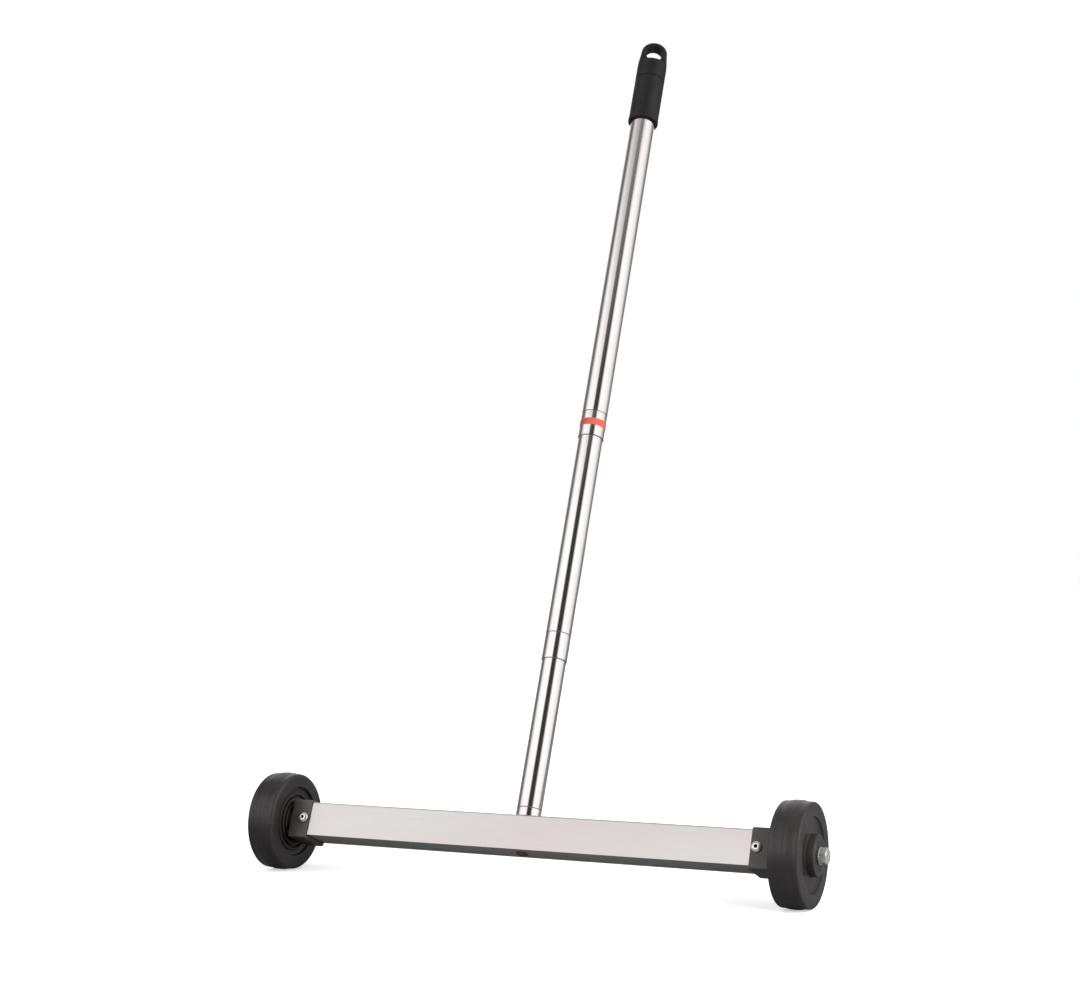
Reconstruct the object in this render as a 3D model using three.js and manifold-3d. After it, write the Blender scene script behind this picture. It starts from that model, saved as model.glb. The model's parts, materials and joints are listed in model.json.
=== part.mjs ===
// Magnetic nail sweeper: a stainless bar full of magnets, carried on two wheels, with a
// three-section telescoping handle that leans back as it is pulled along.
// Millimetres, +Z up, the floor at z = 0, +X along the axle and +Y behind the sweeper.
//
// Most pieces are drawn in the head frame: its origin is midway between the wheels on the
// axle line, x runs along the bar, y points to the back face and z runs up the handle.

import * as THREE from 'three';
import { mergeVertices } from 'three/addons/utils/BufferGeometryUtils.js';
import Module from 'manifold-3d';

const wasm = await Module();
wasm.setup();

// ---- driving dimensions ----

const GAP = 0.3; // clearance between neighbouring pieces
const OVERSHOOT = 1; // how far a cutting tool runs past the face that it cuts
const HANDLE_LEAN = THREE.MathUtils.degToRad(21.7);

const WHEEL_RADIUS = 45;
const WHEEL_WIDTH = 27;
const WHEEL_CENTRE_X = 251;
const WHEEL_BORE = 7.25;
const WHEEL_SHOULDER = 4.5;
const HUB_RADIUS = 17.3;
const HUB_PROUD_OUTSIDE = 4.8; // how far the hub stands out of the tread's side
const HUB_PROUD_INSIDE = 0.6;
const DISH_RADIUS = 32;
const DISH_DEPTH = 2.2;
const INNER_LEDGE = { radius: 26, depth: 2 }; // the extra step inside the dish on the bar's side
const HUB_CHAMFER = 0.6;

const BAR_HEIGHT = 31;
const BAR_DEPTH = 31.6;
const BAR_HALF_LENGTH = 231.5;
const SHEET = 1.2; // thickness of the folded channel and its cover
const CHANNEL_BEND = 1.6; // outside radius of the folded corners

const CAP_INNER_X = 215;
const CAP_OUTER_X = 234.5;
const CAP_WALL = 1.3;
const CAP_BOTTOM_WALL = 2.9;
const CAP_END_WALL = 2.3;
const CAP_SCREW_X = 220.5;
const CAP_SEAT = 0.4; // how far the channel is stepped in where the caps go over it

const MAGNET_COUNT = 8;
const MAGNET = { length: 50, depth: 24, height: 10 };
const BOLT_ROOM = 12; // free length at the middle of the magnet row for the handle bolt
const KEEPER_THICKNESS = 3;
const BOLT_SPACER_RADIUS = 8;

const AXLE_RADIUS = 4;
const AXLE_HEX = 13; // across flats, bolt head and nut alike
const AXLE_HEAD = 5.5;
const AXLE_NUT = 6.5;
const AXLE_PAST_NUT = 2;
const WASHER_RADIUS = 8;
const WASHER_THICKNESS = 1.4;
const BUSH_RADIUS = 7;
const AXLE_CLEARANCE = 0.2;
const SPACER_RADIUS = 9.5;

const TUBE_FIT = 0.25; // radial gap between one handle tube and the next
const LOWER_TUBE = { radius: 11.25, wall: 0.35, bottom: 15.8, top: 314 };
const MIDDLE_TUBE = { radius: 11.85, wall: 0.35, bottom: 163.3, top: 503.3 };
const UPPER_TUBE = { radius: 12.5, wall: 0.4, bottom: 389.3, top: 797 };
const BAND = { bottom: 400.3, top: 407.4, thickness: 0.2, clearance: 0.05 };
const FOOT_PLUG_TOP = 42;
const LOCK = {
  plugDepth: 22,
  flange: 2,
  collar: 14,
  split: 2,
  spindleRadius: 5,
  retainerRadius: 9,
  retainer: 2,
};

const GRIP_TURN = THREE.MathUtils.degToRad(26.3); // how far the loop's face is turned to the right
const GRIP = {
  bottom: 753.2,
  lipTop: 758,
  lipTaper: 1.5,
  seam: 805.3,
  seamDepth: 0.4,
  seamHalfWidth: 0.8,
  top: 853,
  lipRadius: 15.5,
  radius: 15.2,
};
const LOOP = {
  halfWidth: 13.65,
  halfThickness: 6.5,
  sideTaperFrom: 823, // the grip's sides draw in from here
  sideTaperBend: { x: 14, z: 832 },
  ledge: 825.3, // the sleeve's front and back stop here
  filletFrom: 9, // the ledge's slope turns into the loop's face within these limits
  filletTop: 829,
};
const HANG_HOLE = { radius: 8.7, z: 837.4 };

const HANDLE_BOLT = {
  radius: 3,
  headRadius: 5.2,
  headHeight: 2.2,
  headBevel: 1,
  top: 36,
  socket: 4,
  socketDepth: 1.2,
};
const CAP_SCREW = {
  radius: 2.5,
  headRadius: 4.75,
  headHeight: 2.75,
  rimHeight: 0.6,
  length: 8,
  socket: 3,
  socketDepth: 1.5,
};
const SCREW_DOME = Math.PI / 3; // the arc of a circle that a button head's dome takes up

const ROUND = 48; // sides of wheels and tubes
const SMALL_ROUND = 24; // sides of pins, screws and washers
const ARC_STEPS = 4; // straight pieces in a small rounded profile

const SIDES = { left: -1, right: 1 };

// ---- finishes ----

function finish(color, roughness, metalness) {
  return new THREE.MeshStandardMaterial({ color, roughness, metalness });
}

const FINISHES = {
  stainless: finish(0xdfdcda, 0.32, 1),
  polishedTube: finish(0xd9d5d2, 0.18, 1),
  zincSteel: finish(0xc9c9c7, 0.3, 1),
  darkPlate: finish(0x55524f, 0.5, 0.7),
  ferrite: finish(0x2e2c2b, 0.8, 0.1),
  capPlastic: finish(0x3a3735, 0.45, 0),
  wheelRubber: finish(0x2b2928, 0.7, 0),
  nylon: finish(0xcfcabd, 0.6, 0),
  gripPlastic: finish(0x242323, 0.55, 0),
  orangeBand: finish(0xe5482f, 0.5, 0),
};

// ---- solid modelling helpers ----

function toSolid(geometry) {
  const bare = new THREE.BufferGeometry();
  bare.setAttribute('position', geometry.getAttribute('position'));
  if (geometry.index) bare.setIndex(geometry.index);
  const merged = mergeVertices(bare, 1e-4);
  return new wasm.Manifold(new wasm.Mesh({
    numProp: 3,
    vertProperties: new Float32Array(merged.getAttribute('position').array),
    triVerts: new Uint32Array(merged.index.array),
  }));
}

function toGeometry(solid) {
  const mesh = solid.getMesh();
  const geometry = new THREE.BufferGeometry();
  geometry.setAttribute('position', new THREE.BufferAttribute(mesh.vertProperties, 3));
  geometry.setIndex(new THREE.BufferAttribute(mesh.triVerts, 1));
  return geometry;
}

function cut(geometry, ...tools) {
  return toGeometry(tools.reduce((solid, tool) => solid.subtract(toSolid(tool)), toSolid(geometry)));
}

function join(geometry, ...others) {
  return toGeometry(others.reduce((solid, other) => solid.add(toSolid(other)), toSolid(geometry)));
}

function common(geometry, ...others) {
  return toGeometry(others.reduce((solid, other) => solid.intersect(toSolid(other)), toSolid(geometry)));
}

// A turned solid about z from [radius, height] points, listed bottom to top up the outside.
function turned(points, sides = ROUND) {
  const profile = points.map(([radius, height]) => new THREE.Vector2(radius, height));
  return new THREE.LatheGeometry(profile, sides).rotateX(Math.PI / 2);
}

function disc(radius, bottom, top, sides = SMALL_ROUND) {
  return turned([[0, bottom], [radius, bottom], [radius, top], [0, top]], sides);
}

function ring(inner, outer, bottom, top, sides = SMALL_ROUND) {
  return turned([[inner, bottom], [outer, bottom], [outer, top], [inner, top], [inner, bottom]], sides);
}

function hexPrism(acrossFlats, bottom, top) {
  const radius = acrossFlats / Math.sqrt(3);
  const prism = new THREE.CylinderGeometry(radius, radius, top - bottom, 6);
  return prism.rotateX(Math.PI / 2).translate(0, 0, (bottom + top) / 2);
}

function block(sizeX, sizeY, sizeZ, x, y, z) {
  return new THREE.BoxGeometry(sizeX, sizeY, sizeZ).translate(x, y, z);
}

// An outline in the y-z plane, stretched along x between two stations.
function alongBar(shape, fromX, toX) {
  const flat = { depth: toX - fromX, bevelEnabled: false, curveSegments: 6 };
  const stretched = new THREE.ExtrudeGeometry(shape, flat);
  return stretched.rotateX(Math.PI / 2).rotateZ(Math.PI / 2).translate(fromX, 0, 0);
}

// Turns a solid drawn about z so that it points outward along x on one side of the sweeper.
const pointOutward = (geometry, side) => geometry.rotateY(side * Math.PI / 2);

// ---- the parts tree ----

const sweeper = new THREE.Group();
const wheelFrame = new THREE.Group();
const headFrame = new THREE.Group();
wheelFrame.position.z = WHEEL_RADIUS;
headFrame.position.z = WHEEL_RADIUS;
headFrame.rotation.x = -HANDLE_LEAN;
sweeper.add(wheelFrame, headFrame);

function addPart(frame, name, geometry, material) {
  const mesh = new THREE.Mesh(geometry, material.clone());
  mesh.name = name;
  frame.add(mesh);
}

// ---- magnet bar ----

const innerHalfDepth = BAR_DEPTH / 2 - SHEET;
const coverTop = -BAR_HEIGHT / 2 + GAP + SHEET;
const magnetTop = coverTop + GAP + MAGNET.height;
const keeperTop = magnetTop + GAP + KEEPER_THICKNESS;

function channelShape() {
  const y = BAR_DEPTH / 2;
  const z = BAR_HEIGHT / 2;
  const inY = innerHalfDepth;
  const inZ = z - SHEET;
  const shape = new THREE.Shape();
  shape.moveTo(-y, -z);
  shape.lineTo(-inY, -z);
  shape.lineTo(-inY, inZ);
  shape.lineTo(inY, inZ);
  shape.lineTo(inY, -z);
  shape.lineTo(y, -z);
  shape.lineTo(y, z - CHANNEL_BEND);
  shape.absarc(y - CHANNEL_BEND, z - CHANNEL_BEND, CHANNEL_BEND, 0, Math.PI / 2);
  shape.lineTo(-y + CHANNEL_BEND, z);
  shape.absarc(-y + CHANNEL_BEND, z - CHANNEL_BEND, CHANNEL_BEND, Math.PI / 2, Math.PI);
  return shape;
}

const boltHole = () => disc(HANDLE_BOLT.radius + GAP, -BAR_HEIGHT, BAR_HEIGHT);

// The channel's full section between the caps, and its stepped-in section under them.
function channelEnvelope() {
  const full = block(2 * (CAP_INNER_X - GAP), 2 * BAR_DEPTH, 2 * BAR_HEIGHT, 0, 0, 0);
  const seatTop = BAR_HEIGHT / 2 - CAP_SEAT;
  const seatHeight = 2 * BAR_HEIGHT;
  const seatDepth = BAR_DEPTH - 2 * CAP_SEAT;
  const seat = block(2 * BAR_HALF_LENGTH, seatDepth, seatHeight, 0, 0, seatTop - seatHeight / 2);
  return join(full, seat);
}

function capScrewHole(side) {
  const hole = disc(CAP_SCREW.radius + GAP, -BAR_DEPTH, BAR_DEPTH);
  return hole.rotateX(Math.PI / 2).translate(side * CAP_SCREW_X, 0, 0);
}

function addMagnetBar() {
  const folded = alongBar(channelShape(), -BAR_HALF_LENGTH, BAR_HALF_LENGTH);
  const channel = common(folded, channelEnvelope());
  const screwHoles = Object.values(SIDES).map(capScrewHole);
  addPart(headFrame, 'bar_channel', cut(channel, boltHole(), ...screwHoles), FINISHES.stainless);

  const coverDepth = 2 * (innerHalfDepth - GAP);
  const cover = block(2 * BAR_HALF_LENGTH, coverDepth, SHEET, 0, 0, coverTop - SHEET / 2);
  addPart(headFrame, 'bottom_cover', cut(cover, boltHole()), FINISHES.darkPlate);

  const perSide = MAGNET_COUNT / 2;
  const pitch = MAGNET.length + GAP;
  const firstX = BOLT_ROOM / 2 + MAGNET.length / 2;
  const magnetZ = magnetTop - MAGNET.height / 2;
  for (let index = 0; index < MAGNET_COUNT; index += 1) {
    const side = index < perSide ? SIDES.left : SIDES.right;
    const x = side * (firstX + (index % perSide) * pitch);
    const magnet = block(MAGNET.length, MAGNET.depth, MAGNET.height, x, 0, magnetZ);
    addPart(headFrame, `magnet_block_${index + 1}`, magnet, FINISHES.ferrite);
  }

  const keeperLength = BOLT_ROOM + MAGNET_COUNT * pitch;
  const keeperZ = keeperTop - KEEPER_THICKNESS / 2;
  const keeper = block(keeperLength, MAGNET.depth, KEEPER_THICKNESS, 0, 0, keeperZ);
  addPart(headFrame, 'magnet_keeper_plate', cut(keeper, boltHole()), FINISHES.zincSteel);

  const spacerTop = BAR_HEIGHT / 2 - SHEET - GAP;
  const spacer = ring(HANDLE_BOLT.radius + GAP, BOLT_SPACER_RADIUS, keeperTop + GAP, spacerTop);
  addPart(headFrame, 'handle_bolt_spacer', spacer, FINISHES.zincSteel);
}

// ---- end caps, their screws and the axle hardware ----

function endCap(side) {
  const outerHalfDepth = BAR_DEPTH / 2 + GAP + CAP_WALL;
  const topZ = BAR_HEIGHT / 2 + GAP + CAP_WALL;
  const bottomZ = -BAR_HEIGHT / 2 - GAP - CAP_BOTTOM_WALL;
  const length = CAP_OUTER_X - CAP_INNER_X;
  const middleX = side * (CAP_INNER_X + CAP_OUTER_X) / 2;
  const shell = block(length, 2 * outerHalfDepth, topZ - bottomZ, middleX, 0, (topZ + bottomZ) / 2);
  const pocketX = middleX - side * CAP_END_WALL;
  const pocket = block(length, BAR_DEPTH + 2 * GAP, BAR_HEIGHT + 2 * GAP, pocketX, 0, 0);
  const axleHole = disc(AXLE_RADIUS + GAP, CAP_INNER_X, CAP_OUTER_X + OVERSHOOT);
  return cut(shell, pocket, pointOutward(axleHole, side), capScrewHole(side));
}

// A button-head socket screw along z: the head's underside is at z = 0 and the shank points down.
function buttonHeadScrew() {
  const { radius, headRadius, headHeight, rimHeight, length, socket, socketDepth } = CAP_SCREW;
  const dome = [[0, -length], [radius, -length], [radius, 0], [headRadius, 0]];
  for (let step = 0; step <= ARC_STEPS; step += 1) {
    const angle = (step / ARC_STEPS) * SCREW_DOME;
    const rise = (headHeight - rimHeight) * Math.sin(angle) / Math.sin(SCREW_DOME);
    dome.push([headRadius * Math.cos(angle), rimHeight + rise]);
  }
  dome.push([0, headHeight]);
  const socketHole = hexPrism(socket, headHeight - socketDepth, headHeight + OVERSHOOT);
  return cut(turned(dome, SMALL_ROUND), socketHole);
}

// Front screws face -y and rear screws face +y.
function addCapScrew(name, side, facing) {
  const seat = BAR_DEPTH / 2 + GAP + CAP_WALL + GAP;
  const screw = buttonHeadScrew().rotateX(-facing * Math.PI / 2);
  screw.translate(side * CAP_SCREW_X, facing * seat, 0);
  addPart(headFrame, name, screw, FINISHES.zincSteel);
}

const hubFaceX = WHEEL_CENTRE_X + WHEEL_WIDTH / 2 + HUB_PROUD_OUTSIDE;
const hubBackX = WHEEL_CENTRE_X - WHEEL_WIDTH / 2 - HUB_PROUD_INSIDE;
const washerX = hubFaceX + GAP;
const axleHeadX = washerX + WASHER_THICKNESS + GAP;
const capEndInsideX = CAP_OUTER_X - CAP_END_WALL;
const axleNutX = capEndInsideX - GAP - AXLE_NUT;
const axleTipX = axleNutX - AXLE_PAST_NUT;

function addAxleHardware(sideName, side) {
  const shank = disc(AXLE_RADIUS, axleTipX, axleHeadX + OVERSHOOT);
  const head = hexPrism(AXLE_HEX, axleHeadX, axleHeadX + AXLE_HEAD);
  addPart(headFrame, `${sideName}_axle_bolt`, pointOutward(join(head, shank), side), FINISHES.zincSteel);

  const nut = cut(
    hexPrism(AXLE_HEX, axleNutX, axleNutX + AXLE_NUT),
    disc(AXLE_RADIUS + GAP, axleNutX - OVERSHOOT, axleNutX + AXLE_NUT + OVERSHOOT),
  );
  addPart(headFrame, `${sideName}_axle_nut`, pointOutward(nut, side), FINISHES.zincSteel);

  const washer = ring(AXLE_RADIUS + GAP, WASHER_RADIUS, washerX, washerX + WASHER_THICKNESS);
  addPart(headFrame, `${sideName}_axle_washer`, pointOutward(washer, side), FINISHES.zincSteel);

  const spacer = ring(AXLE_RADIUS + GAP, SPACER_RADIUS, CAP_OUTER_X + GAP, hubBackX - GAP);
  addPart(headFrame, `${sideName}_axle_spacer`, pointOutward(spacer, side), FINISHES.nylon);
}

function addBarEnd(sideName, side) {
  addPart(headFrame, `${sideName}_end_cap`, endCap(side), FINISHES.capPlastic);
  addCapScrew(`${sideName}_front_cap_screw`, side, -1);
  addCapScrew(`${sideName}_rear_cap_screw`, side, 1);
  addAxleHardware(sideName, side);
}

// ---- wheels ----

// Half the tread's outline, from the side face round the shoulder to the crown's edge.
function shoulderArc(faceZ, outward) {
  const centreR = WHEEL_RADIUS - WHEEL_SHOULDER;
  const centreZ = faceZ - outward * WHEEL_SHOULDER;
  return Array.from({ length: ARC_STEPS + 1 }, (_, step) => {
    const angle = (step / ARC_STEPS) * (Math.PI / 2);
    const rise = WHEEL_SHOULDER * Math.sin(angle);
    const reach = WHEEL_SHOULDER * Math.cos(angle);
    return [centreR + rise, centreZ + outward * reach];
  });
}

function wheelProfile() {
  const face = WHEEL_WIDTH / 2;
  const floor = face - DISH_DEPTH;
  const hubFace = face + HUB_PROUD_OUTSIDE;
  const hubBack = -face - HUB_PROUD_INSIDE;
  return [
    [WHEEL_BORE, hubBack],
    [HUB_RADIUS - HUB_CHAMFER, hubBack],
    [HUB_RADIUS, hubBack + HUB_CHAMFER],
    [HUB_RADIUS, -floor + INNER_LEDGE.depth],
    [INNER_LEDGE.radius, -floor + INNER_LEDGE.depth],
    [INNER_LEDGE.radius, -floor],
    [DISH_RADIUS, -floor],
    [DISH_RADIUS, -face],
    ...shoulderArc(-face, -1),
    ...shoulderArc(face, 1).reverse(),
    [DISH_RADIUS, face],
    [DISH_RADIUS, floor],
    [HUB_RADIUS, floor],
    [HUB_RADIUS, hubFace - HUB_CHAMFER],
    [HUB_RADIUS - HUB_CHAMFER, hubFace],
    [WHEEL_BORE, hubFace],
    [WHEEL_BORE, hubBack],
  ];
}

function addWheel(sideName, side) {
  const wheel = pointOutward(turned(wheelProfile()), side).translate(side * WHEEL_CENTRE_X, 0, 0);
  addPart(wheelFrame, `${sideName}_wheel`, wheel, FINISHES.wheelRubber);

  const bush = ring(AXLE_RADIUS + AXLE_CLEARANCE, BUSH_RADIUS, hubBackX + GAP, hubFaceX - GAP);
  addPart(wheelFrame, `${sideName}_wheel_bush`, pointOutward(bush, side), FINISHES.nylon);
}

// ---- telescoping handle ----

function addTube(name, { radius, wall, bottom, top }) {
  addPart(headFrame, name, ring(radius - wall, radius, bottom, top, ROUND), FINISHES.polishedTube);
}

// The twist lock on top of an inner tube: a core pressed into that tube, a split collar that
// turns on the core's spindle and grips the tube outside it, and a cap that keeps it there.
function addTwistLock(prefix, innerTube, outerTube) {
  const seat = innerTube.top + GAP;
  const collarBottom = seat + LOCK.flange + GAP;
  const collarTop = collarBottom + LOCK.collar;
  const plugRadius = innerTube.radius - innerTube.wall - TUBE_FIT;
  const core = turned([
    [0, innerTube.top - LOCK.plugDepth],
    [plugRadius, innerTube.top - LOCK.plugDepth],
    [plugRadius, seat],
    [innerTube.radius, seat],
    [innerTube.radius, seat + LOCK.flange],
    [LOCK.spindleRadius, seat + LOCK.flange],
    [LOCK.spindleRadius, collarTop + GAP],
    [0, collarTop + GAP],
  ], SMALL_ROUND);
  addPart(headFrame, `${prefix}_lock_core`, core, FINISHES.nylon);

  const bore = outerTube.radius - outerTube.wall;
  const collar = ring(LOCK.spindleRadius + GAP, bore - TUBE_FIT, collarBottom, collarTop, ROUND);
  const splitX = bore / 2 + OVERSHOOT;
  const splitHeight = LOCK.collar + 2 * OVERSHOOT;
  const split = block(bore, LOCK.split, splitHeight, splitX, 0, (collarBottom + collarTop) / 2);
  addPart(headFrame, `${prefix}_lock_collar`, cut(collar, split), FINISHES.gripPlastic);

  const retainerBottom = collarTop + 2 * GAP;
  const retainer = disc(LOCK.retainerRadius, retainerBottom, retainerBottom + LOCK.retainer);
  addPart(headFrame, `${prefix}_lock_retainer`, retainer, FINISHES.nylon);
}

function addHandleFoot() {
  const plugRadius = LOWER_TUBE.radius - LOWER_TUBE.wall - TUBE_FIT;
  const plug = ring(HANDLE_BOLT.radius + GAP, plugRadius, LOWER_TUBE.bottom, FOOT_PLUG_TOP);
  addPart(headFrame, 'handle_foot_plug', plug, FINISHES.zincSteel);

  const { radius, headRadius, headHeight, headBevel, top, socket, socketDepth } = HANDLE_BOLT;
  const seat = -BAR_HEIGHT / 2;
  const headEnd = seat - headHeight;
  const shank = turned([
    [0, headEnd],
    [headRadius - headBevel, headEnd],
    [headRadius, headEnd + headBevel],
    [headRadius, seat],
    [radius, seat],
    [radius, top],
    [0, top],
  ], SMALL_ROUND);
  const socketHole = hexPrism(socket, headEnd - OVERSHOOT, headEnd + socketDepth);
  addPart(headFrame, 'handle_bolt', cut(shank, socketHole), FINISHES.zincSteel);
}

// The grip's outline from the front: straight sides that draw in to a round arch.
function gripFrontShape() {
  const half = LOOP.halfWidth;
  const archZ = GRIP.top - half;
  const bend = LOOP.sideTaperBend;
  const shape = new THREE.Shape();
  shape.moveTo(-GRIP.lipRadius, GRIP.bottom - OVERSHOOT);
  shape.lineTo(GRIP.lipRadius, GRIP.bottom - OVERSHOOT);
  shape.lineTo(GRIP.lipRadius, LOOP.sideTaperFrom);
  shape.lineTo(GRIP.radius, LOOP.sideTaperFrom);
  shape.quadraticCurveTo(bend.x, bend.z, half, archZ);
  shape.absarc(0, archZ, half, 0, Math.PI);
  shape.quadraticCurveTo(-bend.x, bend.z, -GRIP.radius, LOOP.sideTaperFrom);
  shape.lineTo(-GRIP.lipRadius, LOOP.sideTaperFrom);
  return shape;
}

// The grip's outline from the side: the sleeve stops at a ledge, above which a slimmer loop
// with a round top goes on.
function gripSideShape() {
  const full = GRIP.lipRadius;
  const half = LOOP.halfThickness;
  const { ledge, filletFrom, filletTop } = LOOP;
  const topZ = GRIP.top - half;
  const shape = new THREE.Shape();
  shape.moveTo(-full, GRIP.bottom - OVERSHOOT);
  shape.lineTo(full, GRIP.bottom - OVERSHOOT);
  shape.lineTo(full, ledge);
  shape.bezierCurveTo(filletFrom, ledge, half, ledge, half, filletTop);
  shape.lineTo(half, topZ);
  shape.absarc(0, topZ, half, 0, Math.PI);
  shape.lineTo(-half, filletTop);
  shape.bezierCurveTo(-half, ledge, -filletFrom, ledge, -full, ledge);
  return shape;
}

function addGrip() {
  const { bottom, lipTop, lipTaper, seam, seamDepth, seamHalfWidth, top, lipRadius, radius } = GRIP;
  const sleeve = turned([
    [0, bottom],
    [lipRadius, bottom],
    [lipRadius, lipTop - lipTaper],
    [radius, lipTop],
    [radius, seam - seamHalfWidth],
    [radius - seamDepth, seam - seamHalfWidth / 2],
    [radius - seamDepth, seam + seamHalfWidth / 2],
    [radius, seam + seamHalfWidth],
    [radius, top],
    [0, top],
  ]);
  const depth = 4 * lipRadius;
  const flat = { depth, bevelEnabled: false, curveSegments: 8 };
  const frontSlab = new THREE.ExtrudeGeometry(gripFrontShape(), flat);
  frontSlab.translate(0, 0, -depth / 2).rotateX(Math.PI / 2);
  const sideSlab = new THREE.ExtrudeGeometry(gripSideShape(), flat);
  sideSlab.translate(0, 0, -depth / 2).rotateX(Math.PI / 2).rotateZ(Math.PI / 2);
  const tubeBore = disc(UPPER_TUBE.radius + TUBE_FIT, bottom - OVERSHOOT, UPPER_TUBE.top + GAP, ROUND);
  const hangHole = disc(HANG_HOLE.radius, -depth / 2, depth / 2).rotateX(Math.PI / 2);
  hangHole.translate(0, 0, HANG_HOLE.z);
  const grip = cut(common(sleeve, frontSlab, sideSlab), tubeBore, hangHole).rotateZ(GRIP_TURN);
  addPart(headFrame, 'handle_grip', grip, FINISHES.gripPlastic);
}

function addHandle() {
  addHandleFoot();
  addTube('lower_tube', LOWER_TUBE);
  addTwistLock('lower', LOWER_TUBE, MIDDLE_TUBE);
  addTube('middle_tube', MIDDLE_TUBE);
  addTwistLock('upper', MIDDLE_TUBE, UPPER_TUBE);
  addTube('upper_tube', UPPER_TUBE);
  const bandInner = UPPER_TUBE.radius + BAND.clearance;
  const band = ring(bandInner, bandInner + BAND.thickness, BAND.bottom, BAND.top, ROUND);
  addPart(headFrame, 'marker_band', band, FINISHES.orangeBand);
  addGrip();
}

// ---- assembly ----

addMagnetBar();
for (const [sideName, side] of Object.entries(SIDES)) {
  addBarEnd(sideName, side);
  addWheel(sideName, side);
}
addHandle();

// The origin is the bottom centre of the whole sweeper's bounding box.
sweeper.updateMatrixWorld(true);
const bounds = new THREE.Box3().setFromObject(sweeper, true);
sweeper.position.y = -(bounds.min.y + bounds.max.y) / 2;

export default sweeper;
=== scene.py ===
"""Magnetic nail sweeper: the detailed outside of the object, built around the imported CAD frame.

Lengths in the dimension tables are millimetres in the head frame: its origin is midway between
the wheels on the axle line, x runs along the bar, y points to the back and z runs up the handle.
"""
import json
import math

import bmesh
import bpy
from mathutils import Matrix, Vector


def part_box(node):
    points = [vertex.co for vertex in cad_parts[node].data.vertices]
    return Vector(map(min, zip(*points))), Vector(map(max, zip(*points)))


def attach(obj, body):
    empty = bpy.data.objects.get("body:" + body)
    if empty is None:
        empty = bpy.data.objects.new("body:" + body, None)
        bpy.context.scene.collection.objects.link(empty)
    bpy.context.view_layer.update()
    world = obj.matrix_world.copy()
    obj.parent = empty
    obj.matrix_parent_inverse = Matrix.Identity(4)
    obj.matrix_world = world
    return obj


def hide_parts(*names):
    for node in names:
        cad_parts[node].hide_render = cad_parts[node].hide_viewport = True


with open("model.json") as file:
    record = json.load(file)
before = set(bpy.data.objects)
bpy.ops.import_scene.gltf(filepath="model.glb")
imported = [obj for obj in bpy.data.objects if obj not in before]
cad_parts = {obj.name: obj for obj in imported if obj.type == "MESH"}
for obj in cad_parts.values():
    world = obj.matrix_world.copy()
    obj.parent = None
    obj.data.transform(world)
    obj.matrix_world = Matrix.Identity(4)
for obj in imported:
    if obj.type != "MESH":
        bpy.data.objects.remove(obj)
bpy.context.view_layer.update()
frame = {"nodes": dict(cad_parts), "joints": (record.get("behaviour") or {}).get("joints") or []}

MM = 0.001
SIDES = {"left": -1, "right": 1}

# ---- dimensions ----

ROUND = 128  # sides of wheels, tubes and the grip
SMALL_ROUND = 48  # sides of screws and bolts; a multiple of six for the hexagons
COLLAR_ROUND = 96  # sides of washers, spacers and the band
SHARP_ABOVE = 38  # degrees between two faces from which their shared edge looks sharp

# The wheels' heights are measured from a wheel's middle, and are positive on its outer side.
WHEEL = {
    "centre_x": 251, "face": 13.5, "radius": 45, "crown": 0.9, "crown_half_width": 3.5,
    "shoulder": 4, "outer_shoulder": 2.2, "shoulder_reach": 5.5,
    "bore": 7.25, "dish_radius": 32, "dish_floor": 11.3, "dish_floor_radius": 31.2,
    "hub_radius": 17.3, "hub_face": 18.3, "hub_back": -14.1, "rim_radius": 11.8, "rim_step": 0.35,
}
# The inner side's stepped hub and the two rings moulded round it: (radius, height, rounding).
WHEEL_RINGS = [
    (13.2, -14.1, 0.4), (13.7, -12.6, 0.4), (17.3, -12.6, 0.6), (17.7, -7.8, 0.6),
    (19.6, -7.8, 0.5), (20.1, -11.9, 0.5), (22.1, -11.9, 0.5), (22.6, -7.8, 0.5),
    (24.3, -7.8, 0.5), (24.8, -11.3, 0.5), (26.6, -11.1, 0.5), (27.1, -9.3, 0.5), (31.2, -10.1, 1.0),
]
SEAM = {"height": 0.14, "half_width": 0.3}  # the mould's parting line round the tread

BAR = {"half_depth": 15.8, "half_height": 15.5, "half_length": 231.5, "sheet": 1.2, "bend": 1.6}
BAR_STATIONS = (-1, -0.995, -0.5, 0, 0.5, 0.995, 1)  # shares of the bar's half length
COVER = {"half_depth": 14.3, "top": -14.0, "thickness": 1.2}

CAP = {
    "inner_x": 215, "outer_x": 234.5, "half_depth": 17.4, "top": 17.1, "bottom": -18.7, "bend": 2.2,
    "lip": 0.35, "rounding": 1.4, "rounding_steps": 6, "hole": 4.3,
    "pocket_half_depth": 16.1, "pocket_half_height": 15.8, "pocket_end_x": 232.2, "pocket_bend": 1.6,
}

# The round-headed screws are drawn along z, from a head whose seat is at 0.
CAP_SCREW = {"radius": 2.5, "head_radius": 4.75, "head_height": 2.75, "length": 8, "socket": 3}
CAP_SCREW_SEAT = {"x": 220.5, "y": 17.7}
HANDLE_BOLT = {"radius": 3, "head_radius": 5.2, "head_height": 2.2, "length": 51.5, "socket": 4}
HANDLE_BOLT_SEAT_Z = -15.5
SCREW_HEAD = {
    "seat_edge": 0.15, "rim_share": 0.28, "arch": 58, "arch_steps": 7, "flat": 0.35,
    "socket_edge": 0.12, "socket_edge_width": 0.2, "socket_depth": 2.1, "socket_tip": 0.3, "shade_below": 0.2,
}

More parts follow.
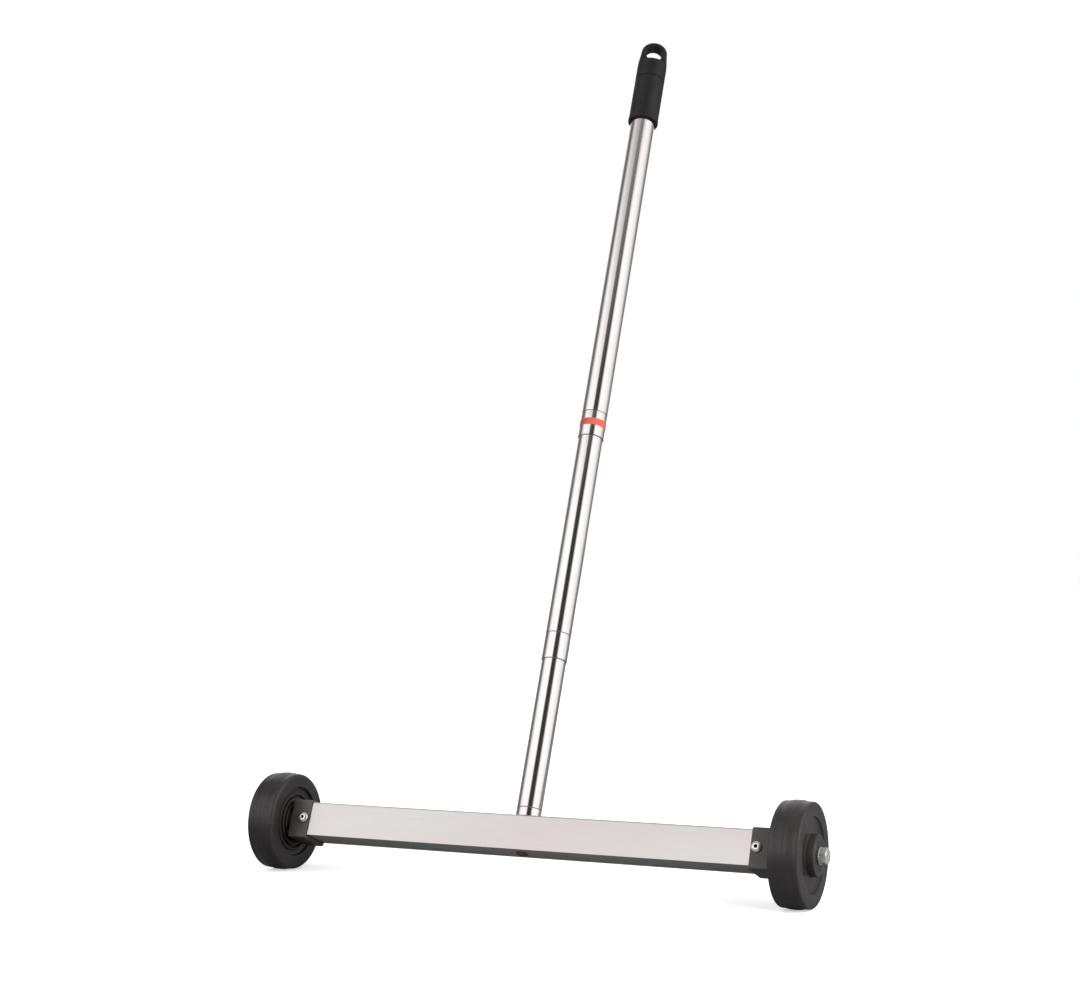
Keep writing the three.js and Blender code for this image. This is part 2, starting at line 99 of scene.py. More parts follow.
AXLE = {
    "radius": 4, "tip_x": 221.4, "tip_chamfer": 0.6, "head_x": 271.3, "head": 5.5, "across_flats": 13,
    "face_share": 0.46, "face_height": 0.3, "turned_edge": 0.1, "corner_height": 0.5, "chamfer": 30,
    "chamfer_steps": 8, "end_flat_inset": 0.5, "end_flat_drop": 0.05,
}
WASHER = {"inner": 4.3, "outer": 7.5, "bottom": 269.6, "top": 271, "edge": 0.25}
SPACER = {"inner": 4.3, "outer": 9.5, "bottom": 234.8, "top": 236.6, "edge": 0.3}

TUBES = {
    "lower_tube": {"radius": 11.25, "wall": 0.35, "bottom": 15.8, "top": 314, "groove": 24.2},
    "middle_tube": {"radius": 11.85, "wall": 0.35, "bottom": 163.3, "top": 503.3, "groove": 189},
    "upper_tube": {"radius": 12.5, "wall": 0.4, "bottom": 389.3, "top": 797, "groove": 415.6},
}
TUBE_RIM = {"inset": 0.25, "height": 0.9}  # each tube's lower end is turned in a little
GROOVE = {"depth": 0.3, "half_width": 0.4}  # the groove rolled round each tube
BAND = {"inner": 12.5, "outer": 12.6, "bottom": 400.3, "top": 407.4, "edge": 0.12}

GRIP_TURN = 26.3  # degrees that the loop's face is turned to the right
GRIP = {
    "bottom": 753.2, "lip_top": 758, "lip_radius": 15.5, "radius": 15.2, "bore": 12.75, "bore_top": 797.3,
    "seam": 805.3, "sides_from": 823, "ledge": 825.3, "fillet_from": 9, "fillet_top": 829,
    "top": 851.4, "loop_half_width": 13.5, "loop_half_thickness": 6.5, "edge": 2.6, "ease": 1.2,
}
GRIP_ARCH_Z = GRIP["top"] - GRIP["loop_half_width"]
GRIP_STEPS = {"search": 22, "fillet": 16, "sides": 6, "arch": 36}
GRIP_SEAM = {"half_width": 0.9, "floor_half_width": 0.3, "depth": 0.6}
HANG_HOLE = {"radius": 8.7, "z": 837.4, "flare": 1.2, "steps": 12, "reach": 12}

# ---- frames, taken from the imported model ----

wheel_low, wheel_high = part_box("right_wheel")
slide = next(joint for joint in frame["joints"] if joint["name"] == "upper_section_slide")
axle_centre = Vector((0, (wheel_low.y + wheel_high.y) / 2, (wheel_low.z + wheel_high.z) / 2))
handle_lean = math.atan2(slide["axis"][1], slide["axis"][2])

HEAD = Matrix.Translation(axle_centre) @ Matrix.Rotation(-handle_lean, 4, "X")
GRIP_PLACE = HEAD @ Matrix.Rotation(math.radians(GRIP_TURN), 4, "Z")


def outward(side):
    """Turns a local z axis so that it points out of the sweeper on one side."""
    return Matrix.Rotation(side * math.pi / 2, 4, "Y")


def raised(z):
    """A move along the local z axis, in millimetres."""
    return Matrix.Translation(Vector((0, 0, z * MM)))


def wheel_place(side):
    centre = axle_centre + Vector((side * WHEEL["centre_x"] * MM, 0, 0))
    return Matrix.Translation(centre) @ outward(side)


# ---- outlines ----

def rounded_path(corners, closed=True, steps=5):
    """The points of a path of (u, v, radius) corners, each corner rounded by its radius."""
    points = []
    for index, (u, v, radius) in enumerate(corners):
        corner = Vector((u, v))
        at_end = not closed and index in (0, len(corners) - 1)
        if radius == 0 or at_end:
            points.append(corner)
            continue
        before = Vector(corners[index - 1][:2]) - corner
        after = Vector(corners[(index + 1) % len(corners)][:2]) - corner
        reach = radius / math.tan(before.angle(after) / 2)
        start = corner + before.normalized() * min(reach, before.length / 2)
        end = corner + after.normalized() * min(reach, after.length / 2)
        for step in range(steps + 1):
            t = step / steps
            points.append(start.lerp(corner, t).lerp(corner.lerp(end, t), t))
    return points


def spread(path, parts):
    """A closed path with its long straight stretches divided into this many parts."""
    longest = max((point - path[index - 1]).length for index, point in enumerate(path))
    points = []
    for index, point in enumerate(path):
        after = path[(index + 1) % len(path)]
        pieces = parts if (after - point).length > longest / 3 else 1
        points.extend(point.lerp(after, piece / pieces) for piece in range(pieces))
    return points


def circle(radius, z, sides):
    if radius < 1e-6:
        return [Vector((0, 0, z))]
    angles = (2 * math.pi * index / sides for index in range(sides))
    return [Vector((radius * math.cos(a), radius * math.sin(a), z)) for a in angles]


def hexagon(across_flats, z, sides, largest=math.inf):
    """A hexagon drawn with many points, cut off where it would pass the radius largest."""
    points = []
    for index in range(sides):
        angle = 2 * math.pi * index / sides
        from_flat = (angle + math.pi / 6) % (math.pi / 3) - math.pi / 6
        radius = min(across_flats / 2 / math.cos(from_flat), largest)
        points.append(Vector((radius * math.cos(angle), radius * math.sin(angle), z)))
    return points


# ---- meshes ----

def loft(rings, joined=False, capped=False):
    """Skins a row of rings that have the same number of points; a ring of one point is a tip."""
    mesh = bmesh.new()
    rows = [[mesh.verts.new(point) for point in ring] for ring in rings]
    pairs = list(zip(rows, rows[1:]))
    if joined:
        pairs.append((rows[-1], rows[0]))
    for low, high in pairs:
        count = max(len(low), len(high))
        for index in range(count):
            after = (index + 1) % count
            if len(low) == 1:
                mesh.faces.new((low[0], high[after], high[index]))
            elif len(high) == 1:
                mesh.faces.new((low[index], low[after], high[0]))
            else:
                mesh.faces.new((low[index], low[after], high[after], high[index]))
    if capped:
        mesh.faces.new(rows[0])
        mesh.faces.new(rows[-1])
    bmesh.ops.recalc_face_normals(mesh, faces=mesh.faces)
    return mesh


def turned(path, sides=ROUND, joined=True):
    """A turned solid from a path of (radius, z) points."""
    return loft([circle(radius, z, sides) for radius, z in path], joined=joined)


def as_object(name, mesh, place):
    """A Blender object from a bmesh in millimetres, its place worked into its vertices."""
    data = bpy.data.meshes.new(name)
    mesh.to_mesh(data)
    mesh.free()
    data.transform(place @ Matrix.Scale(MM, 4))
    piece = bpy.data.objects.new(name, data)
    bpy.context.scene.collection.objects.link(piece)
    return piece


def smooth(piece):
    """Shades a piece as a smooth surface, apart from its edges that turn by more than SHARP_ABOVE."""
    piece.data.polygons.foreach_set("use_smooth", [True] * len(piece.data.polygons))
    piece.data.set_sharp_from_angle(angle=math.radians(SHARP_ABOVE))


def fit_in(piece, place, body, node, look):
    """Finishes a piece, makes it move with a body and lets it stand for a CAD node."""
    smooth(piece)
    dress(piece, look, place)
    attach(piece, body)
    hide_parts(node)
    return piece


def add_piece(name, mesh, place, body, node, look):
    return fit_in(as_object(name, mesh, place), place, body, node, look)


# ---- materials ----

def tone(red, green, blue):
    """A colour from display values between 0 and 255."""
    def linear(value):
        share = value / 255
        return share / 12.92 if share <= 0.04045 else ((share + 0.055) / 1.055) ** 2.4
    return (linear(red), linear(green), linear(blue), 1)


# Each look: two base tones that drift into each other, the cells per metre of that drift and of
# the fine grain along local x, y and z, how much the grain darkens, the range of roughness, the
# depth of the grain in metres, what worn edges turn into and how far, and whether the textures
# run in rings round the local z axis, as on a turned part.
LOOKS = {
    "stainless_sheet": {
        "tones": (tone(217, 215, 211), tone(217, 207, 206)),
        "drift": (6, 14, 14), "grain": (24, 2600, 2600), "grain_dark": 0.05, "roughness": (0.26, 0.36),
        "depth": 0.000006, "metallic": 1, "specular": 0.5,
        "worn": tone(245, 242, 240), "wear": 0.6, "turned": False,
    },
    "polished_tube": {
        "tones": (tone(248, 243, 242), tone(243, 235, 235)),
        "drift": (20, 20, 5), "grain": (1900, 1900, 14), "grain_dark": 0.06, "roughness": (0.08, 0.15),
        "depth": 0.000003, "metallic": 1, "specular": 0.5,
        "worn": tone(240, 236, 234), "wear": 0.3, "turned": False,
    },
    "zinc_steel": {
        "tones": (tone(246, 246, 245), tone(232, 231, 229)),
        "drift": (160, 160, 160), "grain": (2600, 2600, 900), "grain_dark": 0.1, "roughness": (0.16, 0.3),
        "depth": 0.000008, "metallic": 0.85, "specular": 0.5,
        "worn": tone(242, 241, 238), "wear": 0.6, "turned": True,
    },
    # Painted shade: the bottom cover's dark grey stands in for its steel seen in shade under the bar.
    "dark_plate": {
        "tones": (tone(150, 148, 147), tone(134, 132, 133)),
        "drift": (12, 40, 40), "grain": (60, 1500, 1500), "grain_dark": 0.2, "roughness": (0.45, 0.6),
        "depth": 0.00001, "metallic": 0, "specular": 0.4,
        "worn": tone(178, 175, 172), "wear": 0.5, "turned": False,
    },
    "ferrite": {
        "tones": (tone(58, 56, 56), tone(42, 41, 41)),
        "drift": (90, 90, 90), "grain": (1400, 1400, 1400), "grain_dark": 0.3, "roughness": (0.6, 0.85),
        "depth": 0.00003, "metallic": 0, "specular": 0.4,
        "worn": tone(96, 93, 91), "wear": 0.5, "turned": False,
    },
    "cap_plastic": {
        "tones": (tone(66, 61, 60), tone(48, 44, 43)),
        "drift": (45, 45, 45), "grain": (1300, 1300, 1300), "grain_dark": 0.22, "roughness": (0.3, 0.42),
        "depth": 0.00002, "metallic": 0, "specular": 0.55,
        "worn": tone(104, 98, 96), "wear": 0.5, "turned": False,
    },
    "wheel_rubber": {
        "tones": (tone(47, 43, 43), tone(33, 30, 30)),
        "drift": (38, 38, 38), "grain": (1100, 1100, 1100), "grain_dark": 0.3, "roughness": (0.3, 0.46),
        "depth": 0.00003, "metallic": 0, "specular": 0.5,
        "worn": tone(88, 84, 82), "wear": 0.45, "turned": False,
    },
    # A rougher steel finish whose darker tone is painted shade, for the tubes' grooves and lower rims.
    "rolled_steel_painted_shade": {
        "tones": (tone(190, 184, 182), tone(158, 152, 150)),
        "drift": (60, 60, 60), "grain": (1900, 1900, 900), "grain_dark": 0.15, "roughness": (0.3, 0.45),
        "depth": 0.000003, "metallic": 1, "specular": 0.5,
        "worn": tone(200, 194, 190), "wear": 0.2, "turned": True,
    },
    # Painted shade: the near-black that stands in for the shade down in a screw's socket.
    "socket_painted_shade": {
        "tones": (tone(22, 22, 22), tone(14, 14, 14)),
        "drift": (200, 200, 200), "grain": (2200, 2200, 2200), "grain_dark": 0.3, "roughness": (0.6, 0.8),
        "depth": 0.00001, "metallic": 0, "specular": 0.2,
        "worn": tone(60, 60, 60), "wear": 0.3, "turned": False,
    },
    "oiled_steel": {
        "tones": (tone(104, 92, 86), tone(84, 74, 69)),
        "drift": (200, 200, 200), "grain": (2200, 2200, 2200), "grain_dark": 0.2, "roughness": (0.4, 0.55),
        "depth": 0.00001, "metallic": 0.4, "specular": 0.4,
        "worn": tone(120, 112, 106), "wear": 0.5, "turned": True,
    },
    "nylon": {
        "tones": (tone(92, 89, 86), tone(74, 71, 69)),
        "drift": (80, 80, 80), "grain": (1500, 1500, 1500), "grain_dark": 0.15, "roughness": (0.45, 0.6),
        "depth": 0.00002, "metallic": 0, "specular": 0.4,
        "worn": tone(120, 117, 113), "wear": 0.4, "turned": False,
    },
    "lock_plastic": {
        "tones": (tone(70, 70, 72), tone(54, 54, 56)),
        "drift": (80, 80, 80), "grain": (1300, 1300, 1300), "grain_dark": 0.2, "roughness": (0.45, 0.6),
        "depth": 0.00002, "metallic": 0, "specular": 0.4,
        "worn": tone(110, 110, 112), "wear": 0.4, "turned": False,
    },
    "grip_plastic": {
        "tones": (tone(32, 31, 32), tone(24, 23, 24)),
        "drift": (40, 40, 25), "grain": (1500, 1500, 1500), "grain_dark": 0.3, "roughness": (0.42, 0.58),
        "depth": 0.00003, "metallic": 0, "specular": 0.35,
        "worn": tone(74, 72, 72), "wear": 0.4, "turned": False,
    },
    "orange_band": {
        "tones": (tone(212, 100, 82), tone(204, 86, 70)),
        "drift": (120, 120, 60), "grain": (1200, 1200, 1200), "grain_dark": 0.12, "roughness": (0.38, 0.52),
        "depth": 0.00002, "metallic": 0, "specular": 0.4,
        "worn": tone(224, 138, 120), "wear": 0.4, "turned": False,
    },
}


def feed(tree, socket, value):
    """Gives an input a link, if the value is another node's output, or else a fixed value."""
    if isinstance(value, bpy.types.NodeSocket):
        tree.links.new(value, socket)
    else:
        socket.default_value = value


def add_node(tree, kind, settings=(), **inputs):
    """Adds a node with its settings. Each keyword names an input, for a link or for a value."""
    node = tree.nodes.new(kind)
    for key, value in dict(settings).items():
        setattr(node, key, value)
    for key, value in inputs.items():
        feed(tree, node.inputs[key.replace("_", " ")], value)
    return node


def mix_colours(tree, share, first, second):
    """A colour between two others, each of which is a link or a fixed colour."""
    node = add_node(tree, "ShaderNodeMix", {"data_type": "RGBA"})
    ends = {"Factor_Float": share, "A_Color": first, "B_Color": second}
    for socket in node.inputs:
        if socket.identifier in ends:
            feed(tree, socket, ends[socket.identifier])
    return next(socket for socket in node.outputs if socket.identifier == "Result_Color")


# The stretches of a texture's value, or of an edge's sharpness, that a range is spread over.
NOISE_WINDOW = (0.3, 0.7)
PATCH_WINDOW = (0.4, 0.6)
TWO_NOISES_WINDOW = (0.7, 1.3)
CONVEX_EDGE_WINDOW = (0.505, 0.56)
LEAST_PATCH = 0.3  # how much of the wear is left between the worn patches
DRIFT_DETAIL, GRAIN_DETAIL = 4, 3  # octaves of noise


class Shading:
    """One material's node tree, with textures measured in the piece's own frame."""

    def __init__(self, name, place, around_axis):
        self.material = bpy.data.materials.new(name)
        self.material.use_nodes = True
        self.tree = self.material.node_tree
        self.shader = self.tree.nodes["Principled BSDF"]
        to_piece = place.inverted()
        position = self.add("ShaderNodeTexCoord").outputs["Object"]
        self.local = self.add(
            "ShaderNodeMapping", Vector=position, Rotation=to_piece.to_euler(), Location=to_piece.translation,
        ).outputs["Vector"]
        if around_axis:
            self.local = self.folded_round_axis(self.local)

    def add(self, kind, settings=(), **inputs):
        return add_node(self.tree, kind, settings, **inputs)

    def math(self, operation, first, second):
        node = self.add("ShaderNodeMath", {"operation": operation})
        for socket, value in zip(node.inputs, (first, second)):
            feed(self.tree, socket, value)
        return node.outputs["Value"]

    def folded_round_axis(self, vector):
        """Swaps x for the distance from the z axis, so that a texture becomes rings round it."""
        parts = self.add("ShaderNodeSeparateXYZ", Vector=vector)
        flat = self.add("ShaderNodeCombineXYZ", X=parts.outputs["X"], Y=parts.outputs["Y"])
        reach = self.add("ShaderNodeVectorMath", {"operation": "LENGTH"}, Vector=flat.outputs["Vector"])
        rings = self.add("ShaderNodeCombineXYZ", X=reach.outputs["Value"], Z=parts.outputs["Z"])
        return rings.outputs["Vector"]

    def noise(self, cells, detail):
        """Noise with this many cells per metre along each axis of the piece's frame."""
        cell = [1 / count for count in cells]
        stretched = self.add("ShaderNodeMapping", {"vector_type": "TEXTURE"}, Vector=self.local, Scale=cell)
        return self.add(
            "ShaderNodeTexNoise", Vector=stretched.outputs["Vector"], Scale=1, Detail=detail,
        ).outputs["Fac"]

    def between(self, value, low, high, window=NOISE_WINDOW):
        """Takes a value's window to the range from low to high, and holds it there outside."""
        start, end = window
        return self.add(
            "ShaderNodeMapRange", Value=value, From_Min=start, From_Max=end, To_Min=low, To_Max=high,
        ).outputs["Result"]

    def mix(self, share, first, second):
        return mix_colours(self.tree, share, first, second)


def make_material(look, place):
    values = LOOKS[look]
    shading = Shading(look, place, values["turned"])
    drift = shading.noise(values["drift"], DRIFT_DETAIL)
    grain = shading.noise(values["grain"], GRAIN_DETAIL)
    darkness = shading.between(grain, 0, values["grain_dark"])
    base = shading.mix(shading.between(drift, 0, 1), *values["tones"])
    grained = shading.mix(darkness, base, (0, 0, 0, 1))

    pointiness = shading.add("ShaderNodeNewGeometry").outputs["Pointiness"]
    edge = shading.between(pointiness, 0, values["wear"], CONVEX_EDGE_WINDOW)
    patches = shading.between(drift, LEAST_PATCH, 1, PATCH_WINDOW)
    worn = shading.math("MULTIPLY", edge, patches)
    colour = shading.mix(worn, grained, values["worn"])

    both = shading.math("ADD", drift, grain)
    rough = shading.between(both, *values["roughness"], TWO_NOISES_WINDOW)
    bump = shading.add("ShaderNodeBump", Height=grain, Distance=values["depth"], Strength=1)
    finish = {
        "Base Color": colour, "Roughness": rough, "Normal": bump.outputs["Normal"],
        "Metallic": values["metallic"], "Specular IOR Level": values["specular"],
    }
    for name, value in finish.items():
        feed(shading.tree, shading.shader.inputs[name], value)
    return shading.material


made_materials = {}


def material(look, place):
    """The material of a look at a place, made once and shared by the pieces that stand there."""
    key = (look, tuple(round(value, 6) for row in place for value in row))
    if key not in made_materials:
        made_materials[key] = make_material(look, place)
    return made_materials[key]


def dress(piece, look, place):
    """Gives a piece its look."""
    piece.data.materials.clear()
    piece.data.materials.append(material(look, place))


# ---- wheels ----

def wheel_path():
    """The wheel's outline as (radius, height) points, from the bore's inner end round to its outer."""
    face, floor, hub_face = WHEEL["face"], WHEEL["dish_floor"], WHEEL["hub_face"]
    bore, hub, dish = WHEEL["bore"], WHEEL["hub_radius"], WHEEL["dish_radius"]
    radius = WHEEL["radius"] - SEAM["height"]
    edge, reach, crown = radius - WHEEL["crown"], WHEEL["shoulder_reach"], WHEEL["crown_half_width"]
    seam = SEAM["half_width"]
    return rounded_path([
        (bore, WHEEL["hub_back"], 0.3),
        *WHEEL_RINGS,
        (dish, -face, 0.9),
        (edge, -face, WHEEL["shoulder"]),
        (edge, -face + reach, 0.6),
        (radius, -crown, 0.6),
        (radius, -seam, 0.1),
        (radius + SEAM["height"], 0, 0.1),
        (radius, seam, 0.1),
        (radius, crown, 0.6),
        (edge, face - reach, 0.6),
        (edge, face, WHEEL["outer_shoulder"]),
        (dish, face, 0.9),
        (WHEEL["dish_floor_radius"], floor, 1.0),
        (hub + 0.5, floor, 0.8),
        (hub, hub_face, 0.9),
        (WHEEL["rim_radius"] + 0.4, hub_face, 0.3),
        (WHEEL["rim_radius"], hub_face - WHEEL["rim_step"], 0.3),
        (bore, hub_face - WHEEL["rim_step"], 0.3),
    ])


def add_wheel(name, side):
    node = f"{name}_wheel"
    add_piece(f"{node}_tyre", turned(wheel_path()), wheel_place(side), node, node, "wheel_rubber")


# ---- magnet bar ----

def bar_stations():
    """Stations along the bar, close together at its ends so that wear stays on the end edges."""
    return [BAR["half_length"] * share for share in BAR_STATIONS]


def bar_loft(section):
    """A bar-long solid with one cross section, given as (y, z) points."""
    return loft([[Vector((x, y, z)) for y, z in section] for x in bar_stations()], capped=True)


def channel_mesh():
    depth, height, sheet = BAR["half_depth"], BAR["half_height"], BAR["sheet"]
    section = rounded_path([
        (-depth, -height, 0.25),
        (-depth, height, BAR["bend"]),
        (depth, height, BAR["bend"]),
        (depth, -height, 0.25),
        (depth - sheet, -height, 0.25),
        (depth - sheet, height - sheet, 0.5),
        (-depth + sheet, height - sheet, 0.5),
        (-depth + sheet, -height, 0.25),
    ])
    return bar_loft(section)


def cover_mesh():
    depth, top = COVER["half_depth"], COVER["top"]
    bottom = top - COVER["thickness"]
    corners = [(-depth, bottom), (-depth, top), (depth, top), (depth, bottom)]
    return bar_loft(rounded_path([(y, z, 0.3) for y, z in corners]))


def socket_screw(screw):
    """A round-headed screw with a hexagonal socket: the head rises along z from its seat at 0."""
    radius, head_radius, height = screw["radius"], screw["head_radius"], screw["head_height"]
    shape, socket = SCREW_HEAD, screw["socket"]
    rim, arch = shape["rim_share"] * height, math.radians(shape["arch"])
    outline = [
        (0, -screw["length"]), (radius, -screw["length"]), (radius, 0),
        (head_radius - shape["seat_edge"], 0), (head_radius, shape["seat_edge"]),
    ]
    for step in range(shape["arch_steps"] + 1):
        angle = step / shape["arch_steps"] * arch
        rise = rim + (height - rim) * math.sin(angle) / math.sin(arch)
        outline.append((head_radius * math.cos(angle), rise))
    outline.append((socket / math.sqrt(3) + shape["flat"], height))
    rings = [circle(reach, z, SMALL_ROUND) for reach, z in outline]
    rings.append(hexagon(socket + shape["socket_edge_width"], height, SMALL_ROUND))
    rings.append(hexagon(socket, height - shape["socket_edge"], SMALL_ROUND))
    rings.append(hexagon(socket, height - shape["socket_depth"], SMALL_ROUND))
    rings.append(circle(0, height - shape["socket_depth"] - shape["socket_tip"], SMALL_ROUND))
    return loft(rings)


def paint_socket_shade(piece, place, screw):
    """Paints shade on the faces down in a screw's socket: a near-black look that stands in for the shade of a
    deep hole.
    """
    piece.data.materials.append(material("socket_painted_shade", place))
    to_piece = place.inverted()
    for face in piece.data.polygons:
        centre = to_piece @ face.center / MM
        inside = math.hypot(centre.x, centre.y) < screw["socket"] / math.sqrt(3)
        if inside and 0 < centre.z < screw["head_height"] - SCREW_HEAD["shade_below"]:
            face.material_index = 1


def add_screw(name, screw, place, node, look):
    head = add_piece(name, socket_screw(screw), place, "head", node, look)
    # The socket's lower faces get painted shade.
    paint_socket_shade(head, place, screw)


def add_bar():
    add_piece("bar_shell", channel_mesh(), HEAD, "head", "bar_channel", "stainless_sheet")
    # The cover's grey is painted shade on the bar's underside.
    add_piece("bar_cover", cover_mesh(), HEAD, "head", "bottom_cover", "dark_plate")
    place = HEAD @ raised(HANDLE_BOLT_SEAT_Z) @ Matrix.Rotation(math.pi, 4, "X")
    add_screw("handle_bolt_head", HANDLE_BOLT, place, "handle_bolt", "oiled_steel")


# ---- bar ends ----

def box_ring(x, half_depth, low, high, radius, inset=0.0):
    """A rounded rectangle across the bar at station x, drawn with evenly spread points."""
    y, bottom, top = half_depth - inset, low + inset, high - inset
    corners = [(-y, bottom, radius), (-y, top, radius), (y, top, radius), (y, bottom, radius)]
    return [Vector((x, y, z)) for y, z in spread(rounded_path(corners), 8)]


def hole_ring(ring, x, radius):
    """The points of a ring drawn in to a circle round the axle."""
    return [Vector((x, *(Vector((p.y, p.z)).normalized() * radius))) for p in ring]


def cap_mesh(side):
    """The cup over a bar's end: its pocket from the bottom out, round its lip and along its shell."""
    inner, outer = CAP["inner_x"], CAP["outer_x"]
    lip, rounding, rounding_steps = CAP["lip"], CAP["rounding"], CAP["rounding_steps"]
    shell = (CAP["half_depth"], CAP["bottom"], CAP["top"], CAP["bend"])
    pocket_height = CAP["pocket_half_height"]
    pocket = (CAP["pocket_half_depth"], -pocket_height, pocket_height, CAP["pocket_bend"])
    rings = [box_ring(side * CAP["pocket_end_x"], *pocket), box_ring(side * (inner + lip), *pocket)]
    rings.append(box_ring(side * inner, *pocket, inset=-lip))
    rings.append(box_ring(side * inner, *shell, inset=lip))
    rings.append(box_ring(side * (inner + lip), *shell))
    for step in range(rounding_steps + 1):
        angle = step / rounding_steps * math.pi / 2
        x = outer - rounding + rounding * math.sin(angle)
        rings.append(box_ring(side * x, *shell, inset=rounding * (1 - math.cos(angle))))
    rings.insert(0, hole_ring(rings[0], side * CAP["pocket_end_x"], CAP["hole"]))
    rings.append(hole_ring(rings[-1], side * outer, CAP["hole"]))
    return loft(rings, joined=True)


def hex_bolt():
    """The axle bolt along z: a hexagonal head whose corners are turned off, on a round shank."""
    radius, flats, tip, foot = AXLE["radius"], AXLE["across_flats"], AXLE["tip_x"], AXLE["head_x"]
    top, chamfer = foot + AXLE["head"], AXLE["tip_chamfer"]
    corner, face = flats / math.sqrt(3), AXLE["face_share"] * flats
    under = foot + AXLE["face_height"]
    shank = [
        (0, tip), (radius - chamfer, tip), (radius, tip + chamfer), (radius, foot),
        (face, foot), (face, under),
    ]
    rings = [circle(reach, z, SMALL_ROUND) for reach, z in shank]
    rings.append(hexagon(flats, under, SMALL_ROUND, largest=corner - AXLE["turned_edge"]))
    rings.append(hexagon(flats, foot + AXLE["corner_height"], SMALL_ROUND))
    slope = math.tan(math.radians(AXLE["chamfer"]))
    depth = (corner - face) * slope
    for step in range(AXLE["chamfer_steps"] + 1):
        rise = depth * step / AXLE["chamfer_steps"]
        rings.append(hexagon(flats, top - depth + rise, SMALL_ROUND, largest=corner - rise / slope))
    end_z = top - AXLE["end_flat_drop"]
    rings.append(circle(face - AXLE["end_flat_inset"], end_z, SMALL_ROUND))
    rings.append(circle(0, end_z, SMALL_ROUND))
    return loft(rings)


def collar(inner, outer, bottom, top, edge):
    """A turned ring of rectangular section with rounded edges."""
    corners = [(inner, bottom, edge), (outer, bottom, edge), (outer, top, edge), (inner, top, edge)]
    return turned(rounded_path(corners), COLLAR_ROUND)


def add_bar_end(name, side):
    add_piece(f"{name}_cap_shell", cap_mesh(side), HEAD, "head", f"{name}_end_cap", "cap_plastic")
    for facing_name, facing in (("front", -1), ("rear", 1)):
        seat = Vector((side * CAP_SCREW_SEAT["x"], facing * CAP_SCREW_SEAT["y"], 0)) * MM
        place = HEAD @ Matrix.Translation(seat) @ Matrix.Rotation(-facing * math.pi / 2, 4, "X")
        node = f"{name}_{facing_name}_cap_screw"
        add_screw(f"{node}_head", CAP_SCREW, place, node, "zinc_steel")
    place = HEAD @ outward(side)
    add_piece(f"{name}_hex_bolt", hex_bolt(), place, "head", f"{name}_axle_bolt", "zinc_steel")
    washer, spacer = collar(**WASHER), collar(**SPACER)
    add_piece(f"{name}_flat_washer", washer, place, "head", f"{name}_axle_washer", "zinc_steel")
    add_piece(f"{name}_hub_spacer", spacer, place, "head", f"{name}_axle_spacer", "nylon")


# ---- handle ----

def tube_mesh(radius, wall, bottom, top, groove):
    """A tube along the handle, with a turned-in lower rim and a groove rolled round it."""
    inner = radius - wall
    return turned(rounded_path([
        (inner, bottom, 0.1),
        (radius - TUBE_RIM["inset"], bottom, 0.1),
        (radius, bottom + TUBE_RIM["height"], 0.6),
        (radius, groove - GROOVE["half_width"], 0.12),
        (radius - GROOVE["depth"], groove, 0.1),
        (radius, groove + GROOVE["half_width"], 0.12),
        (radius, top, 0.1),
        (inner, top, 0.1),
    ]))


def grip_half_width(z):
    """Half the grip's width below the loop's arch: full up to sides_from, then easing into the arch."""
    left = min(1, (GRIP_ARCH_Z - z) / (GRIP_ARCH_Z - GRIP["sides_from"]))
    return GRIP["loop_half_width"] + (GRIP["radius"] - GRIP["loop_half_width"]) * left ** GRIP["ease"]


def edge_inset(depth, half_thickness):
    """How far the loop's outline draws in at this depth, which rounds its front and back edges."""
    over = depth - (half_thickness - GRIP["edge"])
    if over <= 0:
        return 0
    return GRIP["edge"] - math.sqrt(max(0, GRIP["edge"] ** 2 - over ** 2))


def inside_grip(x, y, z, half_thickness):
    depth = abs(y)
    if depth > half_thickness or math.hypot(x, y) > GRIP["radius"]:
        return False
    inset = edge_inset(depth, half_thickness)
    if z <= GRIP_ARCH_Z:
        return abs(x) <= grip_half_width(z) - inset
    return math.hypot(x, z - GRIP_ARCH_Z) <= GRIP["loop_half_width"] - inset


def grip_ring(z, half_thickness):
    """One ring of the grip above its seam: in each direction, the furthest point inside it."""
    ring = []
    for index in range(ROUND):
        angle = 2 * math.pi * index / ROUND
        near, far = 0, GRIP["radius"]
        across, along = math.cos(angle), math.sin(angle)
        for _ in range(GRIP_STEPS["search"]):
            middle = (near + far) / 2
            if inside_grip(middle * across, middle * along, z, half_thickness):
                near = middle
            else:
                far = middle
        ring.append(Vector((near * across, near * along, z)))
    return ring


def grip_sleeve():
    """The round part of the grip as (radius, z) points, from inside its bore to where the loop starts."""
    radius, lip, seam = GRIP["radius"], GRIP["lip_radius"], GRIP["seam"]
    outer, inner, depth = GRIP_SEAM["half_width"], GRIP_SEAM["floor_half_width"], GRIP_SEAM["depth"]
    return rounded_path([
        (0, GRIP["bore_top"], 0),
        (GRIP["bore"], GRIP["bore_top"], 0.3),
        (GRIP["bore"], GRIP["bottom"], 0.35),
        (lip, GRIP["bottom"], 0.7),
        (lip, GRIP["lip_top"] - 0.8, 0.6),
        (radius, GRIP["lip_top"] + 0.6, 1.2),
        (radius, seam - outer, 0.3),
        (radius - depth, seam - inner, 0.15),
        (radius - depth, seam + inner, 0.15),
        (radius, seam + outer, 0.3),
        (radius, GRIP["sides_from"] - 1, 0),
    ], closed=False)


